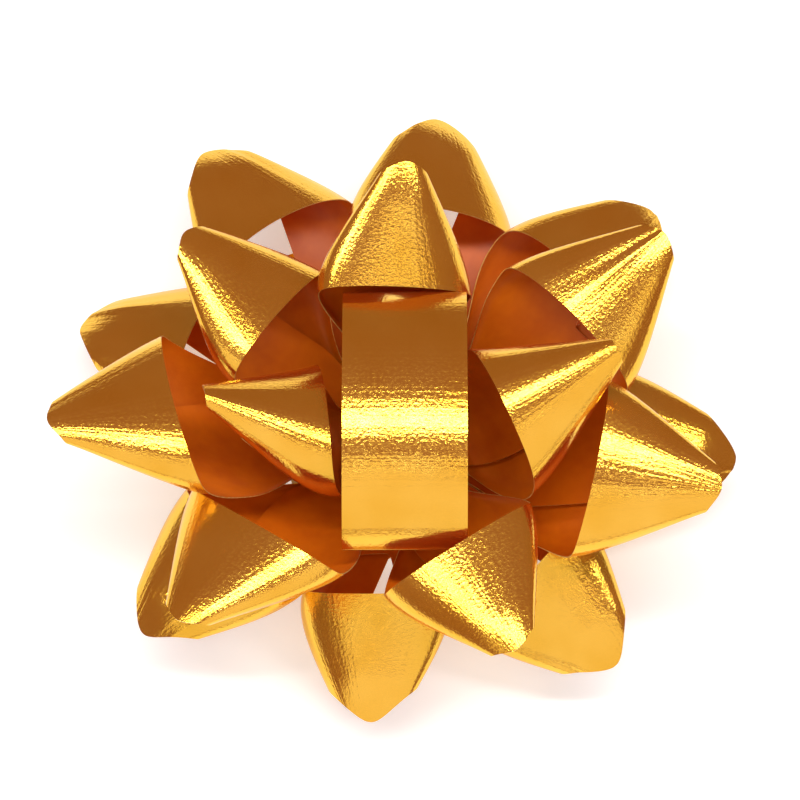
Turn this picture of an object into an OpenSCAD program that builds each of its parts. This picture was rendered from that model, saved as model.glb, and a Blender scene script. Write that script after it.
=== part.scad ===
// Pre-made star gift bow: one ribbon folded into pointed loops in tiers,
// pinned at the hub to a card disc with a peel-and-stick pad underneath.
// Millimetres, +Z up, origin at the centre of the release liner's underside.

/* [Ribbon] */
// Width of the ribbon
ribbon_w = 16; // [14:0.5:18]
// Thickness the ribbon is drawn with
ribbon_t = 0.2; // [0.1:0.05:0.3]

/* [Lower tier] */
// Upward tilt of the lower loops
lower_lift = 5.5; // [4:0.5:8]
// Distance from a cone's point to the ribbon's edge at the tip
lower_tip = 7; // [6:0.5:8]

/* [Middle tier] */
// Upward tilt of the middle loops
middle_lift = 30; // [29:0.5:31]
// Distance from a cone's point to the ribbon's edge at the tip
middle_tip = 4; // [3:0.5:5]

/* [Upper tier] */
// Upward tilt of the upper loops
upper_lift = 50; // [48:0.5:52]
// Distance from a cone's point to the ribbon's edge at the tip
upper_tip = 3; // [2.5:0.5:4]

/* [Crown] */
// Height of the crown loop's top above the liner
crown_top = 31; // [28:0.5:34]
// Half the length of the crown loop, front to back
crown_half = 17.5; // [17:0.5:19]

/* [Base] */
// Diameter of the card disc
disc_d = 30; // [26:1:34]
// Thickness of the card disc
disc_t = 0.8; // [0.6:0.1:1.2]
// Diameter of the foam pad
pad_d = 26; // [22:1:30]
// Thickness of the foam pad
pad_t = 1.2; // [0.8:0.1:2]
// Thickness of the release liner
liner_t = 0.3; // [0.2:0.1:0.4]
// Length of the liner's pull tab past the pad
tab_len = 6; // [4:1:8]
// Width of the liner's pull tab
tab_w = 8; // [6:1:10]

/* [Hidden] */
// Loops of each tier: direction, reach of the tip, sideways swing of the mouth, extra lift
LOWER = [[43, 46, 0, 0], [84, 45, 0, 0], [124, 47, 0, 2], [160, 45, 0, -2],
         [220, 43, 0, 1], [265, 39, 0, -1], [312, 42, 0, 0], [356, 44, 0, 0]];
MIDDLE = [[32, 40, 7, 0], [89, 29, -8, 14], [143, 35, -8, 3], [187, 45, 0, -1],
          [229, 42, 0, 0], [293, 38, 0, 2], [341, 43, 0, 0]];
UPPER = [[186, 25, -16, 0], [6, 27.5, 12, 0]];

pad_z = liner_t;
disc_z = pad_z + pad_t;
hub_z = disc_z + disc_t + 0.5;
lower_z = hub_z;
middle_z = hub_z + 1;
upper_z = hub_z + 2.6;
crown_z = hub_z + 7.6;
pin_head_z = crown_z - 0.9;
// The legs stop at this distance from the hub's axis
hub_r = 5;
// Every loop leans over its right-hand neighbour by this angle
roll = 13;
// The crown loop sits a little in front of the hub and to its right
crown_shift = 3;
crown_x = 0.6;
pin_d = 2.4;
pin_head_d = 6;
pin_head_t = 0.6;
fit_gap = 0.05;
// Film left proud of the legs at each step of the hub's stack
stack_cover = 0.4;
// How far the steps of the stack stay inside the legs that meet them
stack_clear = 0.1;
upper_clear = 0.6;
// Extra lift of the steepest middle loop
steepest_extra = max([for (m = MIDDLE) m[3]]);
tail_len = 26;
tail_az = 110;

steps_round = 44;
steps_across = 4;

LOWER_NAMES = [for (i = [1:len(LOWER)]) str("lower_loop_", i)];
MIDDLE_NAMES = [for (i = [1:len(MIDDLE)]) str("middle_loop_", i)];
UPPER_NAMES = [for (i = [1:len(UPPER)]) str("upper_loop_", i)];

// ---------- Curves ----------

function clamp01(x) = min(1, max(0, x));
function smooth(x) = let (c = clamp01(x)) c * c * (3 - 2 * c);
function unit(v) = v / norm(v);

// Direction of a straight line on a flattened cone. The cone's point is the
// origin, its lowest line runs along -X, t is the turn from its highest line.
function cone_line(t, a, b) = unit([
    -cos(b) + tan(b) * cos(t) * sin(b),
    tan(a) * sin(t),
    sin(b) + tan(b) * cos(t) * cos(b)]);

// Angle in the unrolled ribbon against the turn round the cone.
function unrolled(a, b, step = 5) = let (
    lines = [for (t = [0:step:180]) cone_line(t, a, b)],
    n = len(lines) - 1)
    [for (i = 0, s = 0; i <= n;
          s = i < n ? s + norm(lines[i + 1] - lines[i]) * 180 / PI : s, i = i + 1)
        [s, i * step]];

// One point of a loop, in the frame of the loop: +X outward, +Z up, hub at 0.
// psi is the angle in the unrolled ribbon and f goes across the ribbon, 0 to 1.
function loop_point(psi, f, turn, tip, a, b, apex, half, nose, sector, swing, start) = let (
    p = min(abs(psi), half * 0.9999),
    near = (tip + nose * pow(sin(min(90, abs(turn))), 2)) / cos(p),
    far = min((tip + ribbon_w) / cos(p), apex - hub_r),
    r = near + (far - near) * f,
    q = r * cone_line(turn, a, b),
    x = max(0, apex + q[0]),
    wide = sector + 10 * smooth((x - 12) / 14),
    limit = x * tan(wide) + 0.01,
    y = q[1] / pow(1 + pow(abs(q[1]) / limit, 4), 0.25),
    flat = smooth((x - start) / (17 - start)),
    z = (q[2] - nose * 0.5 * pow(clamp01(1 - (r - tip) / 6), 2)) * flat,
    lean = roll * flat,
    y2 = y * cos(lean) - z * sin(lean),
    z2 = z * cos(lean) + y * sin(lean) + 0.4 * turn / 180,
    pivot = apex - tip,
    s = swing * smooth((x - hub_r) / (0.6 * pivot)))
    [pivot + (x - pivot) * cos(s) - y2 * sin(s), (x - pivot) * sin(s) + y2 * cos(s), z2];

// Distance from the hub to the cone's point, from the reach of the visible tip.
function apex_of(reach, lift, tip, a, b) = let (
    top = cone_line(0, a, b))
    (reach - tip * (top[0] * cos(lift) - top[2] * sin(lift))) / cos(lift);

function turned(p, lift, az, z, foot) = let (
    x = p[0] * cos(lift) - p[2] * sin(lift),
    run = p[0] - foot * (1 - exp(-p[0] / foot)),
    h = run * sin(lift) + p[2] * cos(lift) + z)
    [x * cos(az) - p[1] * sin(az), x * sin(az) + p[1] * cos(az), h];

// Grid of points on the printed face of a loop.
function loop_grid(place, tier) = let (
    tilt = tier[0] + place[3],
    tip = tier[1],
    a = tier[2],
    b = tier[3],
    z = tier[4],
    nose = tier[5],
    sector = tier[6],
    foot = tier[7],
    start = tier[8],
    apex = apex_of(place[1], tilt, tip, a, b),
    half = acos((tip + ribbon_w / 2) / apex),
    table = unrolled(a, b),
    scale_k = table[len(table) - 1][0] / half,
    lap = 1.1,
    n = steps_round,
    m = steps_across)
    [for (i = [0:n]) let (
        psi = half * lap * (2 * i / n - 1),
        over = max(0, abs(psi) - half) * 180 / half,
        turn = sign(psi) * (lookup(abs(psi) * scale_k, table) + over))
        [for (j = [0:m])
            turned(loop_point(psi, j / m, turn, tip, a, b, apex, half, nose, sector, place[2], start),
                   tilt, place[0], z, foot)]];

// ---------- Sheets ----------

function grid_normal(g, i, j) = let (
    n = len(g) - 1,
    m = len(g[0]) - 1,
    du = g[min(n, i + 1)][j] - g[max(0, i - 1)][j],
    dv = g[i][min(m, j + 1)] - g[i][max(0, j - 1)])
    unit(cross(du, dv));

// A thin solid sheet: the grid is its outer face, and t is its thickness.
module sheet(g, t) {
    n = len(g) - 1;
    m = len(g[0]) - 1;
    row = m + 1;
    under = (n + 1) * row;
    outer = [for (i = [0:n]) for (j = [0:m]) g[i][j]];
    inner = [for (i = [0:n]) for (j = [0:m]) g[i][j] - t * grid_normal(g, i, j)];
    faces = concat(
        [for (i = [0:n - 1]) for (j = [0:m - 1]) let (k = i * row + j) each
            [[k, k + row + 1, k + row], [k, k + 1, k + row + 1],
             [k + under, k + row + under, k + row + 1 + under],
             [k + under, k + row + 1 + under, k + 1 + under]]],
        [for (i = [0:n - 1]) let (k = i * row, e = i * row + m) each
            [[k, k + row, k + row + under], [k, k + row + under, k + under],
             [e, e + row + under, e + row], [e, e + under, e + row + under]]],
        [for (j = [0:m - 1]) let (k = j, e = n * row + j) each
            [[k, k + 1 + under, k + 1], [k, k + under, k + 1 + under],
             [e, e + 1, e + 1 + under], [e, e + 1 + under, e + under]]]);
    polyhedron(points = concat(outer, inner), faces = faces, convexity = 6);
}

// ---------- Ribbon ----------

// Tiers: tilt, tip, half width and half height of the cone, height at the hub,
// rounding of the tip, half angle kept free at the hub, length of the flat foot,
// distance from the hub where the legs start to open
lower_tier = [lower_lift, lower_tip, 28.5, 12, lower_z, 3, 16, 3, 3];
middle_tier = [middle_lift, middle_tip, 30, 13, middle_z, 1, 16, 4, 3];
upper_tier = [upper_lift, upper_tip, 26, 18, upper_z, 0, 25, 9, 8];

module lower_loop(i) {
    color("goldenrod")
    sheet(loop_grid(LOWER[i], lower_tier), ribbon_t);
}

module middle_loop(i) {
    color("gold")
    sheet(loop_grid(MIDDLE[i], middle_tier), ribbon_t);
}

module upper_loop(i) {
    color("khaki")
    sheet(loop_grid(UPPER[i], upper_tier), ribbon_t);
}

// Outline of the crown loop, seen from the side: round above, drawn in below.
function crown_outline(n) = let (
    mid = (crown_top + crown_z) / 2 + 1,
    up = crown_top - mid,
    down = mid - crown_z,
    e = 2 / 1.05)
    [for (i = [0:n]) let (t = -88 + 356 * i / n, c = cos(t), s = sin(t))
        s > 0 ? [crown_half * c, mid + up * s]
              : [crown_half * sign(c) * pow(abs(c), e), mid - down * pow(abs(s), e) + 0.3 * i / n]];

module crown_loop() {
    side = crown_outline(64);
    grid = [for (p = side) [for (x = [1, -1]) [crown_x + x * ribbon_w / 2, p[0] - crown_shift, p[1]]]];
    color("gold")
    sheet(grid, ribbon_t);
}

// The cut starting end of the ribbon, under the lower loops.
module ribbon_tail() {
    color("goldenrod")
    rotate([0, 0, tail_az])
    translate([hub_r, -ribbon_w / 2, disc_z + disc_t + fit_gap])
    cube([tail_len, ribbon_w, ribbon_t]);
}

// The ribbon's passes across the hub, pressed together, narrower tier by tier.
module hub_stack() {
    foot_z = disc_z + disc_t + fit_gap;
    color("goldenrod")
    difference() {
        union() {
            translate([0, 0, foot_z])
            cylinder(r = hub_r - stack_clear, h = middle_z + stack_cover - foot_z, $fn = 64);
            translate([0, 0, foot_z])
            cylinder(r = hub_r * cos(middle_lift + steepest_extra) - stack_clear,
                     h = upper_z + stack_cover - foot_z, $fn = 64);
            translate([0, 0, foot_z])
            cylinder(r = hub_r * cos(upper_lift) - upper_clear, h = pin_head_z - fit_gap - foot_z, $fn = 64);
        }
        cylinder(d = pin_d + 2 * fit_gap, h = crown_z, $fn = 32);
    }
}

// ---------- Hub and base ----------

module hub_pin() {
    color("white", 0.5)
    union() {
        translate([0, 0, disc_z])
        cylinder(d = pin_d, h = pin_head_z + pin_head_t - disc_z, $fn = 32);
        translate([0, 0, pin_head_z])
        cylinder(d = pin_head_d, h = pin_head_t, $fn = 48);
    }
}

module base_disc() {
    color("white")
    translate([0, 0, disc_z])
    difference() {
        cylinder(d = disc_d, h = disc_t, $fn = 96);
        translate([0, 0, -1])
        cylinder(d = pin_d + 2 * fit_gap, h = disc_t + 2, $fn = 32);
    }
}

module adhesive_pad() {
    color("whitesmoke")
    translate([0, 0, pad_z])
    cylinder(d = pad_d, h = pad_t, $fn = 96);
}

module release_liner() {
    color("lightyellow")
    union() {
        cylinder(d = pad_d + 1, h = liner_t, $fn = 96);
        translate([0, -tab_w / 2, 0])
        cube([pad_d / 2 + tab_len, tab_w, liner_t]);
    }
}

for (i = [0:len(LOWER) - 1])
    lower_loop(i);
for (i = [0:len(MIDDLE) - 1])
    middle_loop(i);
for (i = [0:len(UPPER) - 1])
    upper_loop(i);
crown_loop();
hub_stack();
ribbon_tail();
hub_pin();
base_disc();
adhesive_pad();
release_liner();
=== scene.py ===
"""Pre-made star gift bow: gold metallised ribbon in pointed loops round a pinned hub."""
import math

import bpy
import numpy as np
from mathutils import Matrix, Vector


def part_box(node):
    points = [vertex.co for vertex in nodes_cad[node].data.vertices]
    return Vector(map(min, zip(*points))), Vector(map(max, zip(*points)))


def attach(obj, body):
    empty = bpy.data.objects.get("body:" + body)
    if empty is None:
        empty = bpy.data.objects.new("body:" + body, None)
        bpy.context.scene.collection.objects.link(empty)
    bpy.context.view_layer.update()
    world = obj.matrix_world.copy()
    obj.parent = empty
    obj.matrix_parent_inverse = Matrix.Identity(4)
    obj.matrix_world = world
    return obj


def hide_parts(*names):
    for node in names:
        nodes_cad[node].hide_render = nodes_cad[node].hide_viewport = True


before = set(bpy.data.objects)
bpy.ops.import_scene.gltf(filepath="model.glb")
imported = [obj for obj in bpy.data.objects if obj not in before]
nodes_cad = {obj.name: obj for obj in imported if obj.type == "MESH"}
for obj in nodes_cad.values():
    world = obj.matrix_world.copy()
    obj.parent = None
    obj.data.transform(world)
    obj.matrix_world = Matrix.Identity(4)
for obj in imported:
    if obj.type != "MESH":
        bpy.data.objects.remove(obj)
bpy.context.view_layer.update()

MM = 0.001

# ---------- Sizes, in millimetres and degrees ----------

RIBBON_W = 16.0
# Thinner than the CAD ribbon, whose outer face is in the same place
FILM_T = 0.12
DISC_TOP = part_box("base_disc")[1][2] / MM
HUB_Z = DISC_TOP + 0.5
HUB_R = 5.0
# Every loop leans over its right-hand neighbour by this angle
LEAN = 13.0
# How far round its cone a loop is wound, past one turn, so that its legs overlap
LAP = 1.1
# Distance from the hub at which the legs are fully open
OPEN_AT = 17.0

# Each tier: tilt, tip, half width and half height of the cone, height at the hub,
# rounding of the tip, half angle kept free at the hub, flat foot, start of the opening
LOWER_TIER = (5.5, 7.0, 28.5, 12.0, HUB_Z, 3.0, 16.0, 3.0, 3.0)
MIDDLE_TIER = (30.0, 4.0, 30.0, 13.0, HUB_Z + 1.0, 1.0, 16.0, 4.0, 3.0)
UPPER_TIER = (50.0, 3.0, 26.0, 18.0, HUB_Z + 2.6, 0.0, 25.0, 9.0, 8.0)

# Each loop: direction, reach of the tip, sideways swing of the mouth, extra lift
LOWER = ((43, 46, 0, 0), (84, 45, 0, 0), (124, 47, 0, 2), (160, 45, 0, -2),
         (220, 43, 0, 1), (265, 39, 0, -1), (312, 42, 0, 0), (356, 44, 0, 0))
MIDDLE = ((32, 40, 7, 0), (89, 29, -8, 14), (143, 35, -8, 3), (187, 45, 0, -1),
          (229, 42, 0, 0), (293, 38, 0, 2), (341, 43, 0, 0))
UPPER = ((186, 25, -16, 0), (6, 27.5, 12, 0))

CROWN_Z = HUB_Z + 7.6
CROWN_TOP = 31.0
CROWN_HALF = 17.5
CROWN_SHIFT = 3.0
CROWN_X = 0.6
# The crown starts and ends near the hub, a few degrees short of a whole turn
CROWN_START = -88.0
CROWN_TURN = 356.0
# Power that draws the crown's lower half in to a point
CROWN_DRAW_IN = 2 / 1.05
# Height of the crown's middle over its edges
CROWN_RISE = 0.25

TAIL_AZ = 110.0
TAIL_LEN = 26.0
TAIL_LIFT = 0.1
TAIL_RISE = 0.25
STEPS_TAIL = 40

CREASES = 9
CREASE_DEPTH = 0.16

STEPS_ROUND = 168
STEPS_ACROSS = 28


def smooth(x):
    """A soft step from 0 to 1."""
    c = np.clip(x, 0.0, 1.0)
    return c * c * (3.0 - 2.0 * c)


def rad(a):
    return np.radians(a)


# ---------- Ribbon surfaces ----------

def cone_line(turn, a, b):
    """Direction of a straight line on the flattened cone, at a turn from its top line."""
    d = np.stack([-np.cos(b) + np.tan(b) * np.cos(turn) * np.sin(b),
                  np.tan(a) * np.sin(turn),
                  np.sin(b) + np.tan(b) * np.cos(turn) * np.cos(b)], -1)
    return d / np.linalg.norm(d, axis=-1, keepdims=True)


def creases(psi, r, tip, seed):
    """Small folds that fan out from the tip and die away toward the mouth, in millimetres."""
    rng = np.random.default_rng(seed)
    depth = np.zeros_like(psi)
    for _ in range(CREASES):
        where = rng.uniform(-1.1, 1.1)
        width = rng.uniform(0.035, 0.12)
        size = rng.uniform(-1.0, 1.0) * CREASE_DEPTH
        reach = rng.uniform(5.0, 16.0)
        fade = np.exp(-np.maximum(r - tip, 0) / reach)
        depth += size * fade * np.exp(-((psi - where) / width) ** 2) * np.minimum(r / 12.0, 1.0)
    return depth


def round_hub(x, y, z, az):
    """Points turned about the hub's axis."""
    return np.stack([x * np.cos(az) - y * np.sin(az), x * np.sin(az) + y * np.cos(az), z], -1)


def loop_grid(place, tier, seed, n=STEPS_ROUND, m=STEPS_ACROSS):
    """The printed face of a loop, its place in the unrolled ribbon, and along its cone's lines."""
    az, reach, swing, extra = place
    lift, tip, a, b, z0, nose, sector, foot, start = tier
    az, swing, lift = rad(az), rad(swing), rad(lift + extra)
    a, b = rad(a), rad(b)

    # the angle in the unrolled ribbon against the turn round the cone
    table_t = np.linspace(0, math.pi, 181)
    lines = cone_line(table_t, a, b)
    steps = np.linalg.norm(np.diff(lines, axis=0), axis=1)
    table_s = np.concatenate([[0.0], np.cumsum(steps)])

    # distance from the hub to the cone's point, and half the ribbon's angle at it
    top = lines[0]
    apex = (reach - tip * (top[0] * np.cos(lift) - top[2] * np.sin(lift))) / np.cos(lift)
    half = math.acos((tip + RIBBON_W / 2) / apex)

    psi = half * LAP * np.linspace(-1, 1, n + 1)
    size = np.abs(psi)
    over = np.maximum(size - half, 0) * math.pi / half
    turn = np.sign(psi) * (np.interp(size * table_s[-1] / half, table_s, table_t) + over)
    cosp = np.cos(np.minimum(size, half * 0.9999))
    near = (tip + nose * np.sin(np.minimum(np.abs(turn), math.pi / 2)) ** 2) / cosp
    far = np.minimum((tip + RIBBON_W) / cosp, apex - HUB_R)
    f = np.linspace(0, 1, m + 1)[None, :]
    r = near[:, None] * (1 - f) + far[:, None] * f
    turn = turn[:, None] + 0 * f
    psi = psi[:, None] + 0 * f
    q = cone_line(turn, a, b) * r[..., None]

    # the legs narrow, flatten and lean as they reach the hub
    x = np.maximum(apex + q[..., 0], 0)
    limit = x * np.tan(rad(sector + 10 * smooth((x - 12) / 14))) + 0.01
    y = q[..., 1] / (1 + (np.abs(q[..., 1]) / limit) ** 4) ** 0.25
    flat = smooth((x - start) / (OPEN_AT - start))
    z = (q[..., 2] - nose * 0.5 * np.clip(1 - (r - tip) / 6, 0, 1) ** 2) * flat
    lean = rad(LEAN) * flat
    y2 = y * np.cos(lean) - z * np.sin(lean)
    z2 = z * np.cos(lean) + y * np.sin(lean) + 0.4 * turn / math.pi

    # the mouth swings sideways about the tip, then the loop is tilted and turned
    pivot = apex - tip
    s = swing * smooth((x - HUB_R) / (0.6 * pivot))
    px = pivot + (x - pivot) * np.cos(s) - y2 * np.sin(s)
    py = (x - pivot) * np.sin(s) + y2 * np.cos(s)
    run = px - foot * (1 - np.exp(-px / foot))
    gx = px * np.cos(lift) - z2 * np.sin(lift)
    gz = run * np.sin(lift) + z2 * np.cos(lift) + z0
    grid = round_hub(gx, py, gz, az)
    grid = grid + normals(grid) * creases(psi, r, tip, seed)[..., None]
    strip = np.stack([r * np.sin(psi), r * np.cos(psi)], -1)
    fan = np.stack([psi * 20.0, r], -1)
    return grid, strip, fan


def crown_grid(n=STEPS_ROUND, m=STEPS_ACROSS):
    """The round loop over the top: an ellipse above, drawn in to the hub below."""
    mid = (CROWN_TOP + CROWN_Z) / 2 + 1
    up, down = CROWN_TOP - mid, mid - CROWN_Z
    i = np.linspace(0, 1, n + 1)
    t = rad(CROWN_START + CROWN_TURN * i)
    c, s = np.cos(t), np.sin(t)
    e = CROWN_DRAW_IN
    y = np.where(s > 0, CROWN_HALF * c, CROWN_HALF * np.sign(c) * np.abs(c) ** e) - CROWN_SHIFT
    z = np.where(s > 0, mid + up * s, mid - down * np.abs(s) ** e + 0.3 * i)
    w = np.linspace(1, -1, m + 1)
    w, y = np.meshgrid(w, y)
    z = z[:, None] + 0 * w
    rise = CROWN_RISE * np.cos(w * math.pi / 2) * smooth((z - mid) / up)
    grid = np.stack([CROWN_X + w * RIBBON_W / 2, y, z + rise], -1)
    length = np.concatenate([[0.0], np.cumsum(np.hypot(np.diff(y[:, 0]), np.diff(z[:, 0])))])
    strip = np.stack([length[:, None] + 0 * w, w * RIBBON_W / 2], -1)
    return grid[:, ::-1], strip[:, ::-1], strip[:, ::-1]


def tail_grid(n=STEPS_TAIL, m=STEPS_ACROSS):
    """The ribbon's cut start, flat on the disc and rising a little past it."""
    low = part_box("ribbon_tail")[0]
    x = np.linspace(HUB_R, HUB_R + TAIL_LEN, n + 1)
    w = np.linspace(-1, 1, m + 1) * RIBBON_W / 2
    x, w = np.meshgrid(x, w, indexing="ij")
    z = low[2] / MM + TAIL_LIFT + TAIL_RISE * smooth((x - 18) / 13) * np.cos(w / 6)
    strip = np.stack([x, w], -1)
    return round_hub(x, w, z, rad(TAIL_AZ)), strip, strip


def normals(grid):
    """Unit normals of a grid of points."""
    du = np.gradient(grid, axis=0)
    dv = np.gradient(grid, axis=1)
    n = np.cross(du, dv)
    return n / np.maximum(np.linalg.norm(n, axis=-1, keepdims=True), 1e-9)


def ribbon(name, data, materials, shift=0.0):
    """A closed thin film: the grid is its printed face, slots are face, back and cut edge."""
    grid, strip, fan = data
    n, m = grid.shape[0] - 1, grid.shape[1] - 1
    row = m + 1
    under = (n + 1) * row
    inner = grid - FILM_T * normals(grid)
    verts = np.concatenate([grid.reshape(-1, 3), inner.reshape(-1, 3)]) * MM
    i, j = np.meshgrid(np.arange(n), np.arange(m), indexing="ij")
    k = (i * row + j).ravel()
    face = np.stack([k, k + 1, k + row + 1, k + row], 1)
    back = np.stack([k, k + row, k + row + 1, k + 1], 1) + under
    k0 = np.arange(n) * row
    k1 = k0 + m
    side0 = np.stack([k0, k0 + row, k0 + row + under, k0 + under], 1)
    side1 = np.stack([k1, k1 + under, k1 + row + under, k1 + row], 1)
    j0 = np.arange(m)
    j1 = n * row + j0
    end0 = np.stack([j0, j0 + under, j0 + 1 + under, j0 + 1], 1)
    end1 = np.stack([j1, j1 + 1, j1 + 1 + under, j1 + under], 1)
    faces = np.concatenate([face, back, side0, side1, end0, end1])
    slots = np.concatenate([np.zeros(len(face)), np.ones(len(back)),
                            np.full(len(side0) * 2 + len(end0) * 2, 2)]).astype(int)
    mesh = bpy.data.meshes.new(name)
    mesh.from_pydata(verts.tolist(), [], faces.tolist())
    for mat in materials:
        mesh.materials.append(mat)
    mesh.polygons.foreach_set("material_index", slots)
    mesh.polygons.foreach_set("use_smooth", np.ones(len(faces), bool))
    loops = np.empty(len(mesh.loops), int)
    mesh.loops.foreach_get("vertex_index", loops)
    for layer, flat in (("strip", strip), ("fan", fan)):
        uv = mesh.uv_layers.new(name=layer)
        both = np.concatenate([flat.reshape(-1, 2)] * 2) + [shift, 0]
        uv.data.foreach_set("uv", both[loops].ravel())
    # the cut edges stay crisp
    pair = np.empty(len(mesh.edges) * 2, int)
    mesh.edges.foreach_get("vertices", pair)
    pair = pair.reshape(-1, 2)
    vi = np.arange(2 * under) % under
    rim = (vi % row == 0) | (vi % row == m) | (vi // row == 0) | (vi // row == n)
    sharp = rim[pair[:, 0]] & rim[pair[:, 1]]
    mesh.attributes.new("sharp_edge", "BOOLEAN", "EDGE")
    mesh.attributes["sharp_edge"].data.foreach_set("value", sharp)
    mesh.validate()
    mesh.update()
    obj = bpy.data.objects.new(name, mesh)
    bpy.context.scene.collection.objects.link(obj)
    return obj


# ---------- Materials ----------

def new_material(name):
    """A new material with its nodes, its links and its Principled shader."""
    mat = bpy.data.materials.new(name)
    mat.use_nodes = True
    nodes = mat.node_tree.nodes
    return mat, nodes, mat.node_tree.links, nodes["Principled BSDF"]


def node(nodes, kind, **inputs):
    """A new node with its inputs set; an underscore stands for a space."""
    n = nodes.new(kind)
    for key, value in inputs.items():
        n.inputs[key.replace("_", " ")].default_value = value
    return n


def noise_on(nodes, links, source, stretch, scale, detail=2.0, rough=0.5):
    """Noise on a coordinate, stretched by the three factors of stretch."""
    mapping = node(nodes, "ShaderNodeMapping")
    mapping.inputs["Scale"].default_value = stretch
    links.new(source, mapping.inputs["Vector"])
    tex = node(nodes, "ShaderNodeTexNoise", Scale=scale, Detail=detail, Roughness=rough)
    links.new(mapping.outputs["Vector"], tex.inputs["Vector"])
    return tex.outputs["Fac"]


def ramp(nodes, links, fac, stops):
    """A colour ramp over a factor. Each stop is a position and a colour."""
    r = nodes.new("ShaderNodeValToRGB")
    while len(r.color_ramp.elements) < len(stops):
        r.color_ramp.elements.new(0.5)
    for element, (at, colour) in zip(r.color_ramp.elements, stops):
        element.position = at
        element.color = (*colour, 1.0)
    links.new(fac, r.inputs["Fac"])
    return r.outputs["Color"]


def bump(nodes, links, height, strength, distance, before=None):
    """A bump from a height, on top of an earlier bump if one is given."""
    b = node(nodes, "ShaderNodeBump", Strength=strength, Distance=distance)
    links.new(height, b.inputs["Height"])
    if before is not None:
        links.new(before, b.inputs["Normal"])
    return b.outputs["Normal"]


def film_face():
    """The metallised side: satin gold with an orange diffuse layer, partly the film's own tint and
    partly painted reflection that gives its dark parts the orange of gold reflected in gold, with
    a fine sparkle.
    """
    mat, nodes, links, gold = new_material("gold_film_face")
    strip = nodes.new("ShaderNodeUVMap")
    strip.uv_map = "strip"
    fan = nodes.new("ShaderNodeUVMap")
    fan.uv_map = "fan"
    sparkle = noise_on(nodes, links, strip.outputs["UV"], (1, 1, 1), 2.2, 2.0, 0.6)
    lines = noise_on(nodes, links, fan.outputs["UV"], (1.2, 0.02, 1), 0.9, 2.0, 0.5)
    slow = noise_on(nodes, links, strip.outputs["UV"], (1, 1, 1), 0.12, 2.0, 0.5)
    tint = ramp(nodes, links, slow, ((0.3, (0.82, 0.50, 0.045)), (0.7, (0.90, 0.58, 0.08))))
    links.new(tint, gold.inputs["Base Color"])
    gold.inputs["Metallic"].default_value = 1.0
    rough = ramp(nodes, links, sparkle, ((0.35, (0.10, 0.10, 0.10)), (0.65, (0.19, 0.19, 0.19))))
    links.new(rough, gold.inputs["Roughness"])
    first = bump(nodes, links, lines, 0.16, 0.0003)
    second = bump(nodes, links, sparkle, 0.36, 0.00011, first)
    links.new(second, gold.inputs["Normal"])
    # Orange diffuse layer: partly the film's own tint, partly painted reflection that lays the
    # orange of gold reflected in gold into the dark parts
    orange_tint_and_reflection = node(nodes, "ShaderNodeBsdfPrincipled",
                   Base_Color=(0.9, 0.12, 0.001, 1), Roughness=0.55)
    links.new(second, orange_tint_and_reflection.inputs["Normal"])
    mix = nodes.new("ShaderNodeMixShader")
    mix.inputs["Fac"].default_value = 0.18
    links.new(gold.outputs["BSDF"], mix.inputs[1])
    links.new(orange_tint_and_reflection.outputs["BSDF"], mix.inputs[2])
    links.new(mix.outputs["Shader"], nodes["Material Output"].inputs["Surface"])
    return mat


def film_back():
    """The plain side: matt, deep orange-brown."""
    mat, nodes, links, shader = new_material("gold_film_back")
    strip = nodes.new("ShaderNodeUVMap")
    strip.uv_map = "strip"
    slow = noise_on(nodes, links, strip.outputs["UV"], (1, 1, 1), 0.15, 3.0, 0.6)
    fine = noise_on(nodes, links, strip.outputs["UV"], (1, 1, 1), 2.4, 2.0, 0.6)
    tint = ramp(nodes, links, slow, ((0.3, (0.56, 0.10, 0.001)), (0.7, (0.70, 0.15, 0.002))))
    links.new(tint, shader.inputs["Base Color"])
    shader.inputs["Roughness"].default_value = 0.42
    shader.inputs["Specular IOR Level"].default_value = 0.35
    links.new(bump(nodes, links, fine, 0.12, 0.0001), shader.inputs["Normal"])
    return mat


def film_edge():
    """The cut edge, paler than the face."""
    mat, nodes, links, shader = new_material("gold_film_edge")
    strip = nodes.new("ShaderNodeUVMap")
    strip.uv_map = "strip"
    fine = noise_on(nodes, links, strip.outputs["UV"], (1, 1, 1), 1.5, 2.0, 0.6)
    tint = ramp(nodes, links, fine, ((0.3, (0.75, 0.42, 0.07)), (0.7, (0.95, 0.72, 0.3))))
    links.new(tint, shader.inputs["Base Color"])
    shader.inputs["Metallic"].default_value = 0.6
    shader.inputs["Roughness"].default_value = 0.35
    return mat


def plain_material(name, low, high, scale, roughness, strength, distance):
    """A matt material whose colour and height vary with one object-space noise."""
    mat, nodes, links, shader = new_material(name)
    coord = nodes.new("ShaderNodeTexCoord")
    grain = noise_on(nodes, links, coord.outputs["Object"], (1, 1, 1), scale, 4.0, 0.6)
    links.new(ramp(nodes, links, grain, ((0.3, low), (0.7, high))), shader.inputs["Base Color"])
    shader.inputs["Roughness"].default_value = roughness
    links.new(bump(nodes, links, grain, strength, distance), shader.inputs["Normal"])
    return mat


def clear_plastic():
    """The pin: clear, with a faint moulded grain."""
    mat, nodes, links, shader = new_material("clear_plastic")
    coord = nodes.new("ShaderNodeTexCoord")
    grain = noise_on(nodes, links, coord.outputs["Object"], (1, 1, 1), 900.0, 2.0, 0.5)
    shader.inputs["Base Color"].default_value = (0.93, 0.92, 0.88, 1.0)
    shader.inputs["Roughness"].default_value = 0.18
    shader.inputs["IOR"].default_value = 1.49
    shader.inputs["Transmission Weight"].default_value = 0.85
    links.new(bump(nodes, links, grain, 0.15, 0.00004), shader.inputs["Normal"])
    return mat


def assign(obj, mat):
    """Gives a CAD node one material."""
    obj.data.materials.clear()
    obj.data.materials.append(mat)


# ---------- The ribbon's pieces ----------

film = (film_face(), film_back(), film_edge())
# Each length takes its own part of the film's texture, this far along
STRIP_STEP = 53.0


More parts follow.
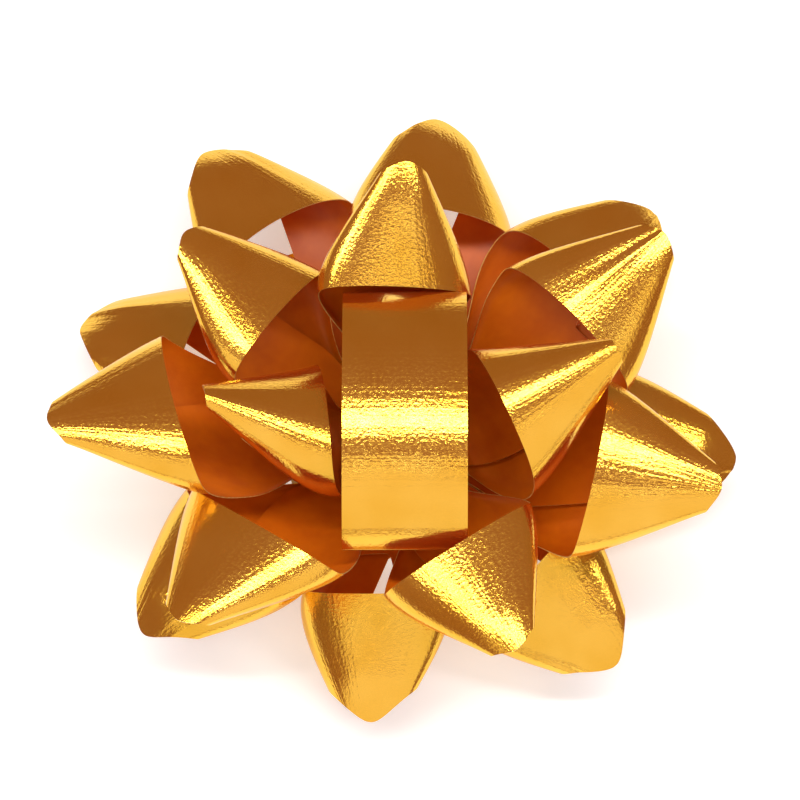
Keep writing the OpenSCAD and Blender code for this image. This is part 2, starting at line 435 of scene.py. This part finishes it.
def place_ribbon(name, data, number):
    """Adds one length of film in the place of the CAD node of that name."""
    obj = ribbon("film_" + name, data, film, STRIP_STEP * number)
    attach(obj, "bow")
    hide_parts(name)
    return obj


number = 0
for tier_name, places, tier in (("lower", LOWER, LOWER_TIER), ("middle", MIDDLE, MIDDLE_TIER),
                                ("upper", UPPER, UPPER_TIER)):
    for index, place in enumerate(places, 1):
        number += 1
        place_ribbon(f"{tier_name}_loop_{index}", loop_grid(place, tier, 100 + number), number)
place_ribbon("crown_loop", crown_grid(), number + 1)
place_ribbon("ribbon_tail", tail_grid(), number + 2)

# ---------- Hub and base ----------

assign(nodes_cad["hub_stack"], film_face())
assign(nodes_cad["hub_pin"], clear_plastic())
assign(nodes_cad["base_disc"],
       plain_material("card", (0.80, 0.77, 0.70), (0.90, 0.88, 0.83), 700.0, 0.8, 0.3, 0.00008))
assign(nodes_cad["adhesive_pad"],
       plain_material("foam", (0.78, 0.78, 0.76), (0.92, 0.92, 0.90), 2200.0, 0.9, 0.7, 0.0002))
assign(nodes_cad["release_liner"],
       plain_material("liner_paper", (0.86, 0.80, 0.62), (0.92, 0.88, 0.74),
                      500.0, 0.45, 0.1, 0.00004))

# ---------- Stage, in metres and watts ----------

FLOOR_HALF = 4.0
# The floor lies this far under the liner
FLOOR_GAP = 0.00005


def floor():
    """A plain pale floor that carries some light of its own, so that it stays pale."""
    mesh = bpy.data.meshes.new("floor")
    s = FLOOR_HALF
    mesh.from_pydata([(-s, -s, 0), (s, -s, 0), (s, s, 0), (-s, s, 0)], [], [(0, 1, 2, 3)])
    obj = bpy.data.objects.new("floor", mesh)
    obj.location.z = -FLOOR_GAP
    bpy.context.scene.collection.objects.link(obj)
    mat, nodes, links, shader = new_material("floor_white")
    shader.inputs["Base Color"].default_value = (0.86, 0.86, 0.86, 1)
    shader.inputs["Roughness"].default_value = 0.9
    shader.inputs["Emission Color"].default_value = (1, 1, 1, 1)
    shader.inputs["Emission Strength"].default_value = 0.36
    mesh.materials.append(mat)


def area(name, at, aim, size_x, size_y, power):
    """A white rectangular lamp that faces a point."""
    data = bpy.data.lights.new(name, "AREA")
    data.shape = "RECTANGLE"
    data.size, data.size_y = size_x, size_y
    data.energy = power
    obj = bpy.data.objects.new(name, data)
    obj.location = at
    obj.rotation_euler = (Vector(aim) - Vector(at)).to_track_quat("-Z", "Y").to_euler()
    bpy.context.scene.collection.objects.link(obj)


floor()
centre = Vector((0, 0, 0.016))
# A tall front box, a bright strip just behind overhead and a thin one before it
area("front_box", (0.0, -1.05, 0.80), centre, 3.2, 1.7, 15.0)
area("top_strip", (0.0, 0.12, 0.82), centre, 1.8, 0.08, 8.5)
area("thin_strip", (0.0, -0.225, 0.80), centre, 1.8, 0.03, 0.6)

# A dim warm room
world = bpy.data.worlds.new("studio")
world.use_nodes = True
world.node_tree.nodes["Background"].inputs["Color"].default_value = (1.0, 0.8, 0.6, 1)
world.node_tree.nodes["Background"].inputs["Strength"].default_value = 0.2
bpy.context.scene.world = world
bpy.context.scene.view_settings.view_transform = "Standard"

# ---------- Camera ----------

ELEVATION = 70.0
DISTANCE = 0.70
SENSOR = 36.0
# Width of the frame at the bow, in metres
FRAME_WIDTH = 0.104
cam_data = bpy.data.cameras.new("camera")
cam_data.sensor_width = SENSOR
cam_data.lens = SENSOR * DISTANCE / FRAME_WIDTH
cam = bpy.data.objects.new("camera", cam_data)
e = math.radians(ELEVATION)
look = Vector((0.0, 0.002, 0.016))
cam.location = look + Vector((0, -math.cos(e), math.sin(e))) * DISTANCE
cam.rotation_euler = (math.pi / 2 - e, 0, 0)
bpy.context.scene.collection.objects.link(cam)
bpy.context.scene.camera = cam
